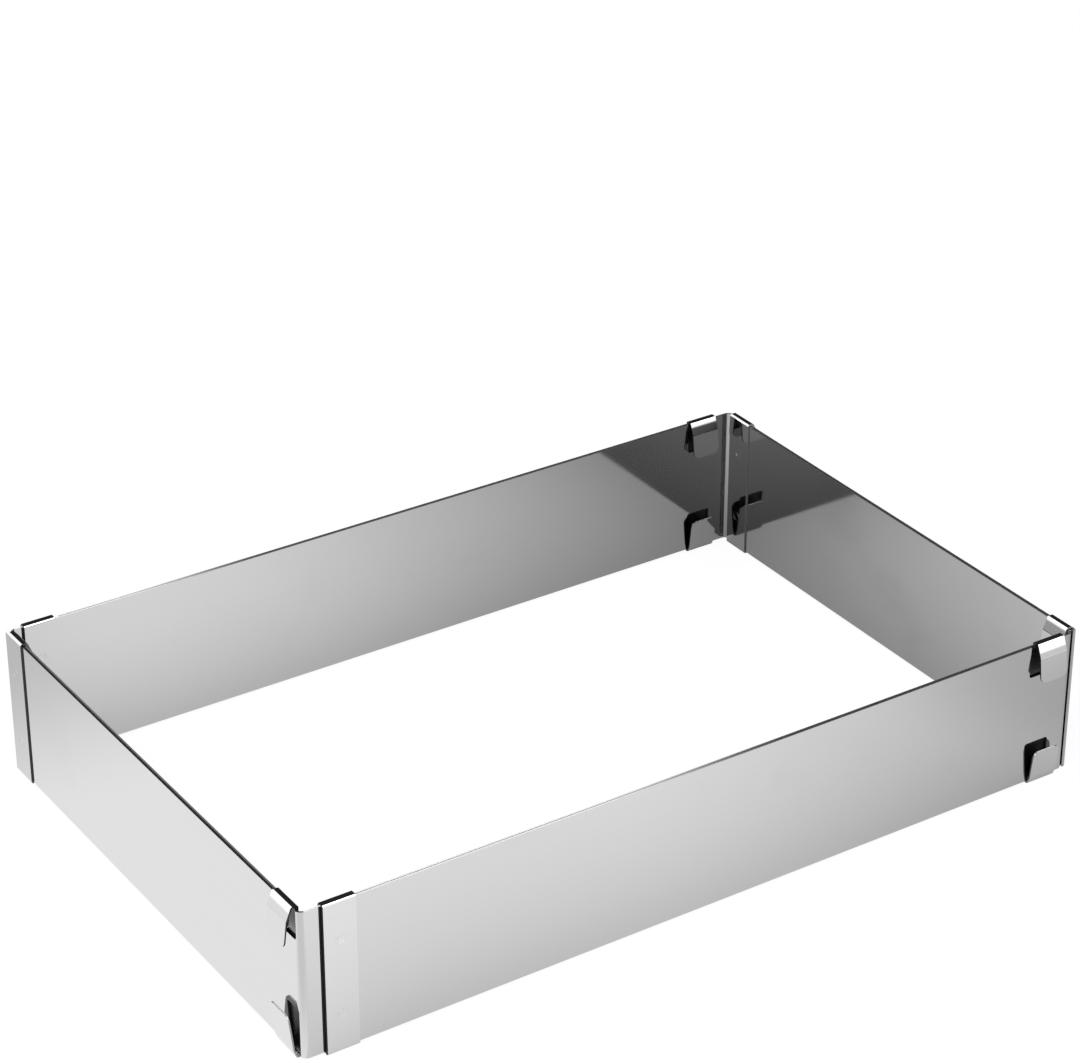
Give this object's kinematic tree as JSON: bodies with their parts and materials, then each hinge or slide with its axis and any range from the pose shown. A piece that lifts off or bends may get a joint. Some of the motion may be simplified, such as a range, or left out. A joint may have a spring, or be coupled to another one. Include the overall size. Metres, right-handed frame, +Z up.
{
  "type": "adjustable cake frame",
  "caption": "Open rectangular baking frame of L-shaped steel sheets whose overlapping sides slide in edge clips to set its length and width.",
  "frame": {"origin": "middle of the closed frame, on the surface that the clips' bottom folds stand on", "axes": "+X along the long sides, +Y along the short sides towards the back, +Z up"},
  "size_m": [0.2826, 0.1886, 0.0505],
  "materials": {
    "sheet_steel": "polished",
    "clip_steel": "polished"
  },
  "bodies": {
    "front_left": {"front_left_sheet": "sheet_steel", "front_inner_clip": "clip_steel", "left_outer_clip": "clip_steel"},
    "front_right": {"front_right_sheet": "sheet_steel", "front_outer_clip": "clip_steel", "right_inner_clip": "clip_steel"},
    "back_right": {"back_right_sheet": "sheet_steel", "right_outer_clip": "clip_steel", "back_inner_clip": "clip_steel"},
    "back_left": {"back_left_sheet": "sheet_steel", "back_outer_clip": "clip_steel", "left_inner_clip": "clip_steel"}
  },
  "joints": [
    {"name": "length_slide", "type": "slide", "parent": "front_left", "child": "front_right", "axis": [1, 0, 0], "range_m": [0, 0.2415]},
    {"name": "width_slide", "type": "slide", "parent": "front_left", "child": "back_left", "axis": [0, 1, 0], "range_m": [0, 0.1556]},
    {"name": "right_width_slide", "type": "slide", "parent": "front_right", "child": "back_right", "axis": [0, 1, 0], "range_m": [0, 0.1556]}
  ],
  "couplings": [
    {"joint": "right_width_slide", "follows": "width_slide", "ratio": 1}
  ]
}
